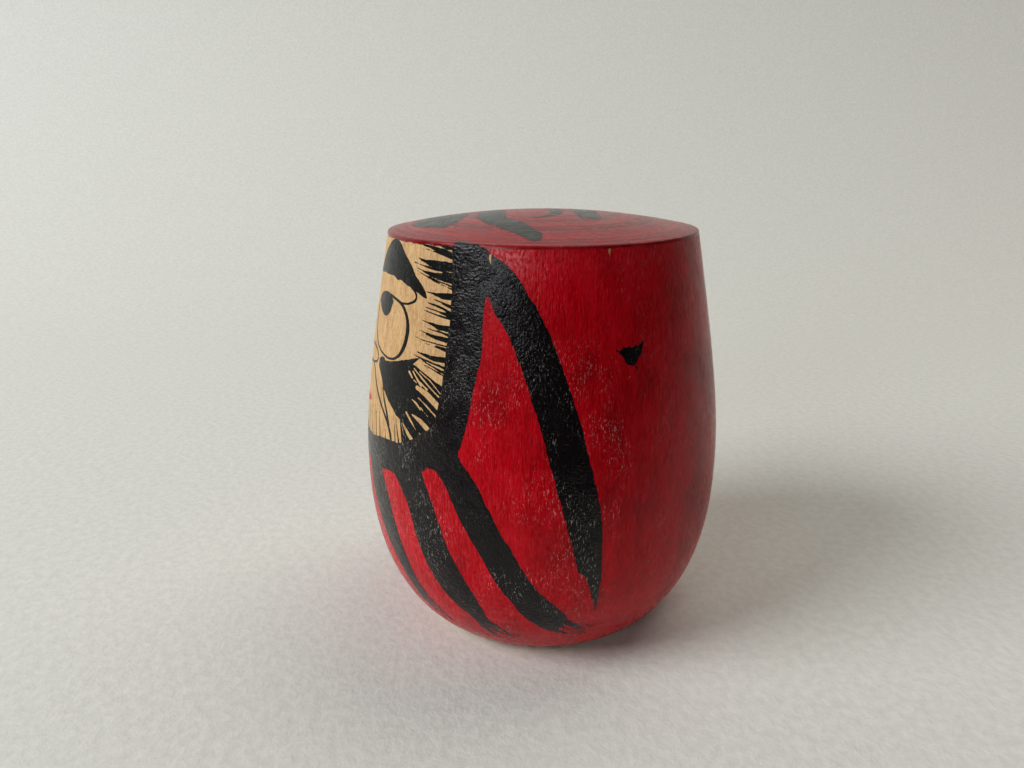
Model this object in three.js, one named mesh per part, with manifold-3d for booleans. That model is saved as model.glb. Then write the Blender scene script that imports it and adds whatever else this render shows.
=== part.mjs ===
// A turned wooden daruma doll: one solid block of wood, shaped on a lathe, with a flat foot and a low
// domed crown, and the films of paint and ink that are brushed over it.
//
// Millimetres, +Z up. The origin is the middle of the flat foot and the face looks towards -Y, so the
// doll's own left side is at +X. Places on the side are [turn, height]: degrees round from the middle
// of the face towards the doll's left, and millimetres above the foot.

import * as THREE from 'three';
import { mergeVertices } from 'three/addons/utils/BufferGeometryUtils.js';
import Module from 'manifold-3d';

// ---- Driving dimensions ---------------------------------------------------------------------------

const RIM_HEIGHT = 69.3; // from the foot to the sharp edge where the side meets the crown
const CROWN_RISE = 2.7; // the dome above that edge
const FOOT_RADIUS = 18.6;
const BELLY_RADIUS = 31.25;
const BELLY_HEIGHT = 30.5;
const FOOT_TUCK = 2.45; // how late the side turns in below the belly
const FOOT_ROUND = 1.55; // how squarely it then meets the foot
const SHOULDER_TAPER = 0.2; // the slope of the nearly straight side under the rim
const SHOULDER_SOFTNESS = 15; // the height over which the belly turns into that slope

const FILM = 0.15; // each film of paint or ink
const FILM_GAP = 0.05; // between one film and what it lies on
const COAT_BOTTOM = 0.4; // the paint stops just short of the foot

const SEGMENTS = 48; // facets round the doll
const SIDE_STEPS = 12; // facets up the side
const CROWN_STEPS = 4; // rings on the crown
const CURVE_STEPS = 2; // straight pieces between two points of a brush mark's edge
const MM_PER_DEGREE = 0.52; // along the side, near the middle of its height

// ---- The turned shape -----------------------------------------------------------------------------

// The outer radius of the painted side: above the belly it runs out nearly straight to the rim, and
// below it tucks in to the foot.
function sideRadius(height) {
  if (height >= BELLY_HEIGHT) {
    const above = height - BELLY_HEIGHT;
    const drop = Math.hypot(SHOULDER_SOFTNESS, above) - SHOULDER_SOFTNESS;
    return BELLY_RADIUS - SHOULDER_TAPER * drop;
  }
  const below = (BELLY_HEIGHT - height) / BELLY_HEIGHT;
  const share = (1 - below ** FOOT_TUCK) ** (1 / FOOT_ROUND);
  return FOOT_RADIUS + (BELLY_RADIUS - FOOT_RADIUS) * share;
}

const RIM_RADIUS = sideRadius(RIM_HEIGHT);
const CROWN_SPHERE = (RIM_RADIUS ** 2 + CROWN_RISE ** 2) / (2 * CROWN_RISE);

// The height of the painted crown at a radius: a shallow cap of a sphere.
function crownHeight(radius) {
  const fall = CROWN_SPHERE - Math.sqrt(CROWN_SPHERE ** 2 - radius ** 2);
  return RIM_HEIGHT + CROWN_RISE - fall;
}

// Every piece uses the same steps up the side and out over the crown, so that the films nest.
const sideLevels = [COAT_BOTTOM];
for (let step = 1; step < SIDE_STEPS; step += 1) {
  const share = (step / SIDE_STEPS) ** 1.3;
  sideLevels.push(COAT_BOTTOM + (RIM_HEIGHT - COAT_BOTTOM) * share);
}
const crownRadii = [];
for (let step = 0; step <= CROWN_STEPS; step += 1) {
  crownRadii.push((RIM_RADIUS * step) / CROWN_STEPS);
}

// Points up the side, moved in or out from the painted surface, ending at a given height.
function sidePoints(offset, top) {
  const points = sideLevels.map((z) => new THREE.Vector2(sideRadius(z) + offset, z));
  points.push(new THREE.Vector2(RIM_RADIUS + offset, top));
  return points;
}

// Points over the crown from the rim to the middle, moved up or down from the painted surface, and
// drawn in at the rim.
function crownPoints(offset, inset) {
  const points = crownRadii.map((r) => new THREE.Vector2(r, crownHeight(r) + offset));
  points[CROWN_STEPS].x -= inset;
  return points.reverse();
}

// ---- Solids ---------------------------------------------------------------------------------------

const wasm = await Module();
wasm.setup();

function solidFrom(geometry) {
  const bare = geometry.clone();
  bare.deleteAttribute('normal');
  bare.deleteAttribute('uv');
  const merged = mergeVertices(bare, 1e-4);
  return new wasm.Manifold(
    new wasm.Mesh({
      numProp: 3,
      vertProperties: merged.attributes.position.array,
      triVerts: new Uint32Array(merged.index.array),
    }),
  );
}

function geometryFrom(solid) {
  const mesh = solid.getMesh();
  const geometry = new THREE.BufferGeometry();
  geometry.setAttribute('position', new THREE.BufferAttribute(mesh.vertProperties, 3));
  geometry.setIndex(new THREE.BufferAttribute(mesh.triVerts, 1));
  return geometry;
}

// Turns a profile about the doll's axis, starting in the middle of the face.
function turned(profile) {
  return new THREE.LatheGeometry(profile, SEGMENTS).rotateX(Math.PI / 2);
}

// A closed film round the whole side, between two offsets from the painted surface.
function sideFilm(inner, outer, top) {
  const inside = sidePoints(inner, top).reverse();
  const profile = [...sidePoints(outer, top), ...inside];
  profile.push(profile[0].clone());
  return solidFrom(turned(profile));
}

// A closed film over the whole crown.
function crownFilm(lower, upper) {
  const profile = [...crownPoints(lower, 0).reverse(), ...crownPoints(upper, 0)];
  return solidFrom(turned(profile));
}

// ---- Brush marks ----------------------------------------------------------------------------------

// A closed outline from runs of [turn, height] points. Each run is a smooth curve, and the runs meet in
// corners. side is 1 for the doll's left and -1 for its right.
function outline(side, ...runs) {
  const corners = runs.flatMap((run) => {
    const points = run.map(([turn, height]) => new THREE.Vector2(side * turn, height));
    return points.length < 3 ? points : new THREE.SplineCurve(points).getPoints(CURVE_STEPS * (points.length - 1));
  });
  const isRepeat = (point, index) => index > 0 && point.distanceTo(corners[index - 1]) < 1e-3;
  const kept = corners.filter((point, index) => !isRepeat(point, index));
  if (kept.at(-1).distanceTo(kept[0]) < 1e-3) kept.pop();
  return new THREE.Shape(kept);
}

// The outline of a thin brush line that follows [turn, height] points at one width, with square ends.
function brushLine(side, width, points) {
  const spine = new THREE.SplineCurve(points.map(([turn, height]) => new THREE.Vector2(turn, height)));
  const steps = CURVE_STEPS * (points.length - 1);
  const leftEdge = [];
  const rightEdge = [];
  for (let step = 0; step <= steps; step += 1) {
    const at = spine.getPoint(step / steps);
    const along = spine.getTangent(step / steps);
    const run = along.x * MM_PER_DEGREE;
    const length = Math.hypot(run, along.y);
    const acrossTurn = (-along.y / length / MM_PER_DEGREE) * (width / 2);
    const acrossHeight = (run / length) * (width / 2);
    leftEdge.push([at.x + acrossTurn, at.y + acrossHeight]);
    rightEdge.unshift([at.x - acrossTurn, at.y - acrossHeight]);
  }
  const edges = [...leftEdge, ...rightEdge];
  return new THREE.Shape(edges.map(([turn, height]) => new THREE.Vector2(side * turn, height)));
}

// The outline of a thin brush line that closes on itself round a middle.
function brushLoop(side, width, middle, points) {
  const loop = (corners) => {
    const curve = new THREE.CatmullRomCurve3(corners.map(([x, y]) => new THREE.Vector3(side * x, y, 0)), true);
    return curve.getPoints(CURVE_STEPS * corners.length).slice(1).map(({ x, y }) => new THREE.Vector2(x, y));
  };
  const drawnIn = points.map(([turn, height]) => {
    const awayTurn = turn - middle[0];
    const awayHeight = height - middle[1];
    const reach = Math.hypot(awayTurn * MM_PER_DEGREE, awayHeight);
    const kept = (reach - width) / reach;
    return [middle[0] + awayTurn * kept, middle[1] + awayHeight * kept];
  });
  const shape = new THREE.Shape(loop(points));
  shape.holes.push(new THREE.Path(loop(drawnIn).reverse())); // a hole runs the other way round
  return shape;
}

// A wedge that cuts an outline straight in through the side. All its edges run to one point on the
// axis, so that its walls are flat and it starts inside the wood and ends well outside it.
const WEDGE_POINT = new THREE.Vector3(0, 0, 35);
const WEDGE_START = 0.5;
const WEDGE_END = 3;
function wedge(shape) {
  const geometry = new THREE.ExtrudeGeometry(shape, { depth: 1, bevelEnabled: false });
  const position = geometry.attributes.position;
  for (let index = 0; index < position.count; index += 1) {
    const turn = THREE.MathUtils.degToRad(position.getX(index));
    const height = position.getY(index);
    const reach = THREE.MathUtils.lerp(WEDGE_START, WEDGE_END, position.getZ(index));
    const radius = sideRadius(height);
    const place = new THREE.Vector3(radius * Math.sin(turn), -radius * Math.cos(turn), height);
    place.sub(WEDGE_POINT).multiplyScalar(reach).add(WEDGE_POINT);
    position.setXYZ(index, place.x, place.y, place.z);
  }
  return solidFrom(geometry);
}

// A tall prism that cuts an outline given in X and Y straight down through the crown.
function column(points) {
  const corners = points.map(([x, y]) => new THREE.Vector3(x, y, 0));
  const curve = new THREE.CatmullRomCurve3(corners, true);
  const loop = curve.getPoints(CURVE_STEPS * points.length).slice(1);
  const shape = new THREE.Shape(loop.map(({ x, y }) => new THREE.Vector2(x, y)));
  const geometry = new THREE.ExtrudeGeometry(shape, { depth: 20, bevelEnabled: false });
  return solidFrom(geometry.translate(0, 0, RIM_HEIGHT - 10));
}

// ---- The films that the marks are cut from --------------------------------------------------------

const BARE = -FILM - FILM_GAP; // the wood under the red paint
const COAT_TOP = RIM_HEIGHT - FILM - FILM_GAP; // the side paint stops under the crown paint
const INK_TOP = RIM_HEIGHT - 0.3;

const coatFilm = sideFilm(-FILM, 0, COAT_TOP);
const bareWoodInk = coatFilm; // ink on the bare face is level with the red paint
const redPaintInk = sideFilm(FILM_GAP, FILM_GAP + FILM, COAT_TOP);
const crownInk = crownFilm(FILM_GAP, FILM_GAP + FILM);

function markOnWood(shape) {
  return bareWoodInk.intersect(wedge(shape));
}

function markOnPaint(shape) {
  return redPaintInk.intersect(wedge(shape));
}

// ---- Colours --------------------------------------------------------------------------------------

const wood = { color: 0xd4ab76, roughness: 0.6, metalness: 0 };
const redPaint = { color: 0x9e0c14, roughness: 0.45, metalness: 0 };
const blackInk = { color: 0x26262a, roughness: 0.55, metalness: 0 };
const lipPaint = { color: 0xb5483f, roughness: 0.5, metalness: 0 };

const doll = new THREE.Group();

function add(name, geometry, finish) {
  const mesh = new THREE.Mesh(geometry, new THREE.MeshStandardMaterial(finish));
  mesh.name = name;
  doll.add(mesh);
}

// ---- The wooden block -----------------------------------------------------------------------------

function turnedBody() {
  const profile = [
    new THREE.Vector2(0, 0),
    new THREE.Vector2(FOOT_RADIUS + BARE, 0),
    ...sidePoints(BARE, crownHeight(RIM_RADIUS) + BARE),
    ...crownPoints(BARE, -BARE).slice(1),
  ];
  return turned(profile);
}

// ---- The red paint --------------------------------------------------------------------------------

// The paint stops round the face, under the middle of the black band that frames it.
function faceWindow() {
  return outline(
    1,
    [[-59, 90], [-59, 60], [-57, 47], [-52, 40], [-35, 36], [0, 34.5], [35, 36], [52, 40], [57, 47], [59, 60], [59, 90]],
  );
}

function sideCoat() {
  return geometryFrom(coatFilm.subtract(wedge(faceWindow())));
}

function crownCoat() {
  return geometryFrom(crownFilm(-FILM, 0));
}

// ---- Black ink on the red paint -------------------------------------------------------------------

// The band that frames the face on one side, from the rim to the chin.
function hoodBand(side) {
  return outline(
    side,
    [[55, INK_TOP], [55.2, 62], [54.8, 55], [53.5, 47], [51, 42.6]],
    [[60.6, 39.6], [62, 43.5], [65, 50], [66.8, 57], [68, 62.4]],
    [[68, INK_TOP]],
  );
}

// The long stroke that leaves the top of the band and tapers to a point low on the side.
function robeEdge(side) {
  return outline(
    side,
    [[68.3, INK_TOP], [68.3, 62.4]],
    [[76, 56], [82, 48], [87.5, 39], [92.5, 27], [97, 20], [101.8, 13]],
    [[101, 26], [97, 38], [92, 49], [86, 57.5], [79, 63.5], [71, INK_TOP]],
  );
}

// The band under the chin, from one side of the face to the other.
function chinBand() {
  const upper = [[0, 36.6], [16, 37.2], [36, 38.2], [43, 39.9], [50.6, 42.3]];
  const lower = [[60.3, 39.3], [53.5, 36.1], [48, 35.8], [36, 32.4], [27.5, 32.2], [0, 31.8]];
  const mirrored = (run) => run.map(([turn, height]) => [-turn, height]).reverse();
  return outline(1, mirrored(upper), upper.slice(1), lower, mirrored(lower).slice(1));
}

// The folds of the robe, which hang from the chin band and sweep round towards the back.
const folds = {
  inner: [
    [[3.5, 31.5], [9.5, 31.5]],
    [[10.5, 27], [13, 20], [17, 12.5], [21, 8]],
    [[18, 7.5], [12, 11], [7.5, 17], [5, 24], [3.5, 31.5]],
  ],
  second: [
    [[16, 31.9], [27.4, 31.9]],
    [[30.5, 27], [35, 20.5], [41, 13.7], [50, 6.8]],
    [[46, 6.3], [37, 8.8], [29, 14], [24, 21], [16, 31.9]],
  ],
  third: [
    [[36.2, 32.1], [47.9, 35.4]],
    [[51, 31], [55, 25], [60.5, 18.5], [65.5, 12.5], [71, 7.5]],
    [[69, 6.8], [61, 9.6], [54, 13.3], [48, 19], [44, 24.5], [36.2, 32.1]],
  ],
  outer: [
    [[53.8, 35.9], [60.7, 38.9]],
    [[69, 32.2], [74, 26.5], [80, 20.3], [86, 15.6], [92, 12], [101, 8.2]],
    [[101, 7.4], [86, 9], [79, 11.8], [73, 15.5], [66, 22.5], [53.8, 35.9]],
  ],
};

// A small stray blot on the doll's left side.
function inkBlot() {
  return outline(1, [[106, 54.2], [109, 55.2], [114.5, 54.6], [115, 53.4], [111.5, 52.4], [106, 54.2]]);
}

// ---- The face, on bare wood -----------------------------------------------------------------------

const EYE_MIDDLE = [24.6, 55.5];
const NOSE_MIDDLE = [0, 49.3];

function brow(side) {
  return outline(
    side,
    [[5, 64.6], [9, 66], [16, 67.4], [24, 68.8], [30, 68], [36, 65.7], [41, 63.4], [45.5, 61.2]],
    [[38, 62.4], [32, 63], [24, 63.4], [14, 63.3], [5, 64.6]],
  );
}

function eyeOutline(side) {
  const corners = [[37.6, 55.4], [33, 59.3], [24, 60.3], [15, 59.2], [11.7, 55.4], [16, 51.9], [25, 50.8], [34, 51.8]];
  return brushLoop(side, 0.45, EYE_MIDDLE, corners);
}

function pupil(side) {
  return outline(side, [[15.5, 58], [20, 59.3], [25.3, 59.6]], [[25.4, 58.2], [20, 56.9], [15.5, 58]]);
}

// The line of the upper lid, from under the brow round to the corner of the eye.
function eyelid(side) {
  return brushLine(side, 0.35, [[38.4, 61.9], [40.2, 61.2], [39.8, 60.4], [36, 59.9], [33, 59.6]]);
}

// The rounded end of the nose with its two wings.
function nose() {
  const wing = [[4, 50.5], [11, 51], [18, 49.6], [10, 48.2]];
  const otherWing = wing.map(([turn, height]) => [-turn, height]).reverse();
  return brushLoop(1, 0.4, NOSE_MIDDLE, [...wing, [0, 47.6], ...otherWing]);
}

function moustache(side) {
  return outline(
    side,
    [[19, 49.2], [26, 50.2], [33, 50.6], [44.5, 52.2]],
    [[44, 50], [54.5, 45.5]],
    [[52.5, 42.5], [48, 41], [43, 41.2], [37, 42.4], [27, 45], [19, 49.2]],
  );
}

// The line from beside the nose down round the mouth to the chin.
function cheekLine(side) {
  return brushLine(side, 0.6, [[12, 47], [20, 44.8], [29, 41.8], [33.3, 37.6]]);
}

// The fringe of hair at the edge of the face: a comb whose teeth point in over the cheek.
function sideHair(side) {
  const teeth = [68.2, 66.3, 64.6, 61.9, 60.1, 57.4, 55.4, 53];
  const TIP_TURN = 43;
  const ROOT_TURN = 55.5;
  const EDGE_TURN = 57.5;
  const TOOTH_HALF_WIDTH = 0.35;
  const shape = new THREE.Shape();
  shape.moveTo(side * EDGE_TURN, teeth[0] + TOOTH_HALF_WIDTH);
  teeth.forEach((height) => {
    shape.lineTo(side * ROOT_TURN, height + TOOTH_HALF_WIDTH);
    shape.lineTo(side * TIP_TURN, height + TOOTH_HALF_WIDTH);
    shape.lineTo(side * ROOT_TURN, height - TOOTH_HALF_WIDTH);
  });
  shape.lineTo(side * EDGE_TURN, teeth.at(-1) - TOOTH_HALF_WIDTH);
  return shape;
}

function mouth() {
  return outline(1, [[-14, 41.5], [-7, 42.1], [0, 41.8], [7, 42.1], [14, 41.5]], [[0, 40.6], [-14, 41.5]]);
}

// ---- Dabs of ink on the crown ---------------------------------------------------------------------

const crownDabs = {
  front: [[-5, -20.5], [2, -21], [10, -17.5], [8.5, -15.5], [4, -14], [-5, -14.5]],
  left: [[-5, -9.5], [8, -10.5], [23, -3.6], [23.3, -1.8], [14.5, -3.8], [7, -6.6], [-5, -6.6]],
  middle: [[9, -4.2], [6, -1.4], [2, 0.6], [-4, 0.4], [-4, 2.2], [3.5, 2.2], [8, -0.6]],
  right: [[8.6, 5.6], [8.2, 8], [1, 8.4], [-6, 7.6], [-6, 5.4], [1, 5.2]],
};

// ---- Assembly -------------------------------------------------------------------------------------

add('turned_body', turnedBody(), wood);
add('red_side_coat', sideCoat(), redPaint);
add('red_crown_coat', crownCoat(), redPaint);
add('chin_band', geometryFrom(markOnPaint(chinBand())), blackInk);
add('nose_outline', geometryFrom(markOnWood(nose())), blackInk);
add('mouth', geometryFrom(markOnWood(mouth())), lipPaint);
add('ink_blot', geometryFrom(markOnPaint(inkBlot())), blackInk);

const sides = { left: 1, right: -1 };
const paintMarks = { hood_band: hoodBand, robe_edge: robeEdge };
const woodMarks = {
  brow,
  eye_outline: eyeOutline,
  pupil,
  eyelid_line: eyelid,
  moustache,
  cheek_line: cheekLine,
  side_hair: sideHair,
};

for (const [sideName, side] of Object.entries(sides)) {
  for (const [markName, draw] of Object.entries(paintMarks)) {
    add(`${markName}_${sideName}`, geometryFrom(markOnPaint(draw(side))), blackInk);
  }
  for (const [foldName, runs] of Object.entries(folds)) {
    const shape = outline(side, ...runs);
    add(`robe_fold_${foldName}_${sideName}`, geometryFrom(markOnPaint(shape)), blackInk);
  }
  for (const [markName, draw] of Object.entries(woodMarks)) {
    add(`${markName}_${sideName}`, geometryFrom(markOnWood(draw(side))), blackInk);
  }
}

for (const [dabName, points] of Object.entries(crownDabs)) {
  const solid = crownInk.intersect(column(points));
  add(`crown_dab_${dabName}`, geometryFrom(solid), blackInk);
}

export default doll;
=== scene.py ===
"""A turned wooden daruma doll: a block of wood, coats of red paint, and brushed ink.

Everything is worked out in millimetres and turned into metres where a mesh is made. A place on the side
is (turn, height): degrees round from the middle of the face towards the doll's left, and millimetres
above the foot. Each coat or brush mark is a thin film whose outline is found on a flat canvas and then
laid on the turned surface.
"""
import math
from collections import Counter

import bpy
import numpy as np
from mathutils import Matrix, Vector
from mathutils.geometry import delaunay_2d_cdt


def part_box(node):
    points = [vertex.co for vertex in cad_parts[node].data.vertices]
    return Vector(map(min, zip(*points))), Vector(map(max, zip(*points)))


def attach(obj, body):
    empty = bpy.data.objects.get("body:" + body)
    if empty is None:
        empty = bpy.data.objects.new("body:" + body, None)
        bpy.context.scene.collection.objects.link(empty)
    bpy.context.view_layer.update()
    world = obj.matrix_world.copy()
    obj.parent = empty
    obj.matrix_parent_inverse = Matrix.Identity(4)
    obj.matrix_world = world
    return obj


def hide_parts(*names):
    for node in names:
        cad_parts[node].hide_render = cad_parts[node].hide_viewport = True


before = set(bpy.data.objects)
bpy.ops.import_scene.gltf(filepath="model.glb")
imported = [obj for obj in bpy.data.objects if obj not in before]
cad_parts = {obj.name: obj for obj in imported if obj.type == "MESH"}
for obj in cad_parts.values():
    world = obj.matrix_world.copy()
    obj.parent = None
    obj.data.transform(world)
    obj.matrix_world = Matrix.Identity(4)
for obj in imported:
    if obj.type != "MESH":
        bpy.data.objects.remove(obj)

SCENE = bpy.context.scene
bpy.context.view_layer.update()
MM = 0.001

# ---- The turned shape, as in the CAD model ----

CAD_FILM = 0.15
FOOT_TUCK = 2.45
FOOT_ROUND = 1.55
SHOULDER_TAPER = 0.2
SHOULDER_SOFTNESS = 15.0
BELLY_HEIGHT = 30.5
FOOT_RADIUS = 18.6

BELLY_RADIUS = 31.25
RIM_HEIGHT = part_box("red_crown_coat")[0][2] / MM + CAD_FILM
CROWN_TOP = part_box("red_crown_coat")[1][2] / MM
CROWN_RISE = CROWN_TOP - RIM_HEIGHT

RIM_WEAR = 0.2  # how far the sharp edge of the crown is rounded off, along the surface
FOOT_WEAR = 0.7  # the height up to which the edge of the foot is rounded off
FOOT_CORNER = FOOT_RADIUS + 0.5  # where that edge would be if it were sharp
FOOT_EDGE = FOOT_RADIUS - 0.3  # where the flat of the foot begins
OVAL = 0.05  # how far the hand-turned block is out of round, in two waves and in three
THREE_LOBED = 0.03
CROWN_STEPS = 60
SIDE_STEPS = 240
FOOT_STEPS = 30
MEAN_RADIUS = 30.0  # the canvas of the side is rolled out at this radius
SIDE_PER_DEGREE = MEAN_RADIUS * math.pi / 180
SAME_PLACE = 1e-6  # millimetres


def side_radius(height):
    """The outer radius of the painted side at a height."""
    above = np.maximum(height - BELLY_HEIGHT, 0)
    upper = BELLY_RADIUS - SHOULDER_TAPER * (np.hypot(SHOULDER_SOFTNESS, above) - SHOULDER_SOFTNESS)
    below = np.clip((BELLY_HEIGHT - height) / BELLY_HEIGHT, 0, 1)
    share = (1 - below**FOOT_TUCK) ** (1 / FOOT_ROUND)
    lower = FOOT_RADIUS + (BELLY_RADIUS - FOOT_RADIUS) * share
    return np.where(height >= BELLY_HEIGHT, upper, lower)


RIM_RADIUS = float(side_radius(np.array(RIM_HEIGHT)))
CROWN_SPHERE = (RIM_RADIUS**2 + CROWN_RISE**2) / (2 * CROWN_RISE)


def crown_height(radius):
    """The height of the painted crown at a radius."""
    return CROWN_TOP - CROWN_SPHERE + np.sqrt(CROWN_SPHERE**2 - radius**2)


def rounded_corner(before, corner, after, steps=10):
    """Points of a curve that rounds off a corner between two points near it."""
    t = np.linspace(0, 1, steps)[:, None]
    return (1 - t) ** 2 * before + 2 * t * (1 - t) * corner + t**2 * after


def make_profile():
    """Points (radius, height) from the crown's middle, over the rim, to the foot's middle."""
    radii = np.linspace(0, RIM_RADIUS - RIM_WEAR, CROWN_STEPS)
    crown = np.column_stack([radii, crown_height(radii)])
    heights = np.linspace(RIM_HEIGHT - RIM_WEAR, FOOT_WEAR, SIDE_STEPS)
    side = np.column_stack([side_radius(heights), heights])
    rim = rounded_corner(crown[-1], np.array([RIM_RADIUS, RIM_HEIGHT]), side[0])
    foot_turn = rounded_corner(side[-1], np.array([FOOT_CORNER, 0.0]), np.array([FOOT_EDGE, 0.0]))
    foot_radii = np.linspace(FOOT_EDGE, 0, FOOT_STEPS)[1:]
    foot = np.column_stack([foot_radii, np.zeros(len(foot_radii))])
    return np.vstack([crown, rim[1:-1], side, foot_turn[1:], foot])


PROFILE = make_profile()
ALONG = np.concatenate([[0], np.cumsum(np.hypot(*np.diff(PROFILE, axis=0).T))])
TANGENT = np.gradient(PROFILE, ALONG, axis=0)
TANGENT /= np.hypot(TANGENT[:, 0], TANGENT[:, 1])[:, None]
NORMAL = np.column_stack([-TANGENT[:, 1], TANGENT[:, 0]])
RIM_ALONG = float(np.interp(-(RIM_HEIGHT - RIM_WEAR), -PROFILE[CROWN_STEPS:, 1], ALONG[CROWN_STEPS:]))
SIDE_PART = slice(int(np.searchsorted(ALONG, RIM_ALONG)), len(ALONG) - FOOT_STEPS)


def along_at_height(height):
    """How far a height on the side is from the middle of the crown, over the surface.
    Heights past the top and the bottom of the side run on over the crown and under the foot."""
    past_top = np.maximum(height - (RIM_HEIGHT - RIM_WEAR), 0)
    past_bottom = np.maximum(FOOT_WEAR - height, 0)
    return np.interp(-height, -PROFILE[SIDE_PART, 1], ALONG[SIDE_PART]) - past_top + past_bottom


def surface(turn, along, lift):
    """Points and normals of the turned surface, lifted off it, for turns in radians."""
    radius = np.interp(along, ALONG, PROFILE[:, 0])
    height = np.interp(along, ALONG, PROFILE[:, 1])
    out = np.interp(along, ALONG, NORMAL[:, 0])
    up = np.interp(along, ALONG, NORMAL[:, 1])
    hand_turned = OVAL * np.sin(2 * turn + 0.7) + THREE_LOBED * np.sin(3 * turn + height / 19)
    radius = radius * (1 + hand_turned / BELLY_RADIUS)
    reach = radius + out * lift
    x, y = np.sin(turn), -np.cos(turn)
    points = np.column_stack([reach * x, reach * y, height + up * lift])
    return points, np.column_stack([out * x, out * y, up])


def on_side(flat):
    """Turn and distance along the surface for canvas points of the side."""
    return flat[:, 0] / MEAN_RADIUS, along_at_height(flat[:, 1])


def on_crown(flat):
    """Turn and distance along the surface for canvas points of the crown, seen from above."""
    return np.arctan2(flat[:, 0], -flat[:, 1]), np.hypot(flat[:, 0], flat[:, 1])


# ---- Smooth noise ----

NOISE_CELLS = 256  # after this many cells the noise repeats


def blended(table, column, row, across, up):
    """A table's values part of the way across and up from one cell to the next."""
    tall, wide = table.shape

    def level(row):
        left = table[row % tall, column % wide]
        right = table[row % tall, (column + 1) % wide]
        return left * (1 - across) + right * across

    return level(row) * (1 - up) + level(row + 1) * up


def noise(x, y, seed):
    """Smooth noise from -1 to 1 with a cell size of 1."""
    table = np.random.default_rng(seed).uniform(-1, 1, (NOISE_CELLS, NOISE_CELLS))
    column, row = np.floor(x).astype(int), np.floor(y).astype(int)
    across, up = (share * share * (3 - 2 * share) for share in (x - column, y - row))
    return blended(table, column, row, across, up)


def layered(x, y, seed, layers):
    """The sum of layers of noise, each a (strength, cell width, cell height)."""
    return sum(s * noise(x / w, y / h, seed + n) for n, (s, w, h) in enumerate(layers))


# ---- Brush marks on a flat canvas ----

ROUGH_EDGE = [(1, 0.55, 1.1), (0.6, 0.22, 0.5)]
BRISTLES = [(1, 0.3, 5), (0.7, 0.13, 2.5)]
SPECKS = [(0.5, 0.3, 0.3)]
FINE_SPECKS = [(0.5, 0.2, 0.2)]
CROSSING = 0.12  # an edge keeps at least this share of a cell away from the canvas's own points


def on_canvas(points, side=1):
    """Canvas points for places (turn, height) on the side, mirrored if side is -1."""
    return np.array(points, float) * (side * SIDE_PER_DEGREE, 1)


def smooth_run(points, steps=8):
    """A smooth curve through a run of points; a run of two stays a straight line."""
    points = np.array(points, float)
    if len(points) < 3:
        return points
    padded = np.vstack([2 * points[0] - points[1], points, 2 * points[-1] - points[-2]])
    t = np.linspace(0, 1, steps, endpoint=False)[:, None]
    pieces = []
    for a, b, c, d in zip(padded, padded[1:], padded[2:], padded[3:]):
        bend = (2 * b) + (c - a) * t + (2 * a - 5 * b + 4 * c - d) * t**2 + (3 * b - a - 3 * c + d) * t**3
        pieces.append(bend / 2)
    return np.vstack(pieces + [points[-1:]])


def outline(side, *runs):
    """A closed outline on the side's canvas, from runs of (turn, height) that meet in corners."""
    return on_canvas(np.vstack([smooth_run(run) for run in runs]), side)


def off_the_run(x, y, start, end):
    """How far along a straight run each point lies, from 0 to 1, and its offsets from the run."""
    run, rise = end - start
    length = max(run * run + rise * rise, SAME_PLACE**2)
    share = np.clip(((x - start[0]) * run + (y - start[1]) * rise) / length, 0, 1)
    return share, x - start[0] - share * run, y - start[1] - share * rise


def along_and_across(x, y, start, end):
    """Millimetres along and across a straight run for each point, and the run's length."""
    reach = max(np.hypot(*(end - start)), SAME_PLACE)
    ahead = (end - start) / reach
    along = (x - start[0]) * ahead[0] + (y - start[1]) * ahead[1]
    across = (y - start[1]) * ahead[0] - (x - start[0]) * ahead[1]
    return along, across, reach


def depth_inside(x, y, corners):
    """How far each point lies inside a closed outline; negative outside it."""
    nearest = np.full(x.shape, np.inf)
    inside = np.zeros(x.shape, bool)
    for start, end in zip(corners, np.roll(corners, -1, axis=0)):
        run, rise = end - start
        if run * run + rise * rise < SAME_PLACE**2:
            continue
        _, aside, over = off_the_run(x, y, start, end)
        nearest = np.minimum(nearest, aside**2 + over**2)
        if rise:
            crosses = (start[1] > y) != (end[1] > y)
            inside ^= crosses & (x < start[0] + (y - start[1]) * run / rise)
    return np.where(inside, 1, -1) * np.sqrt(nearest)


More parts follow.
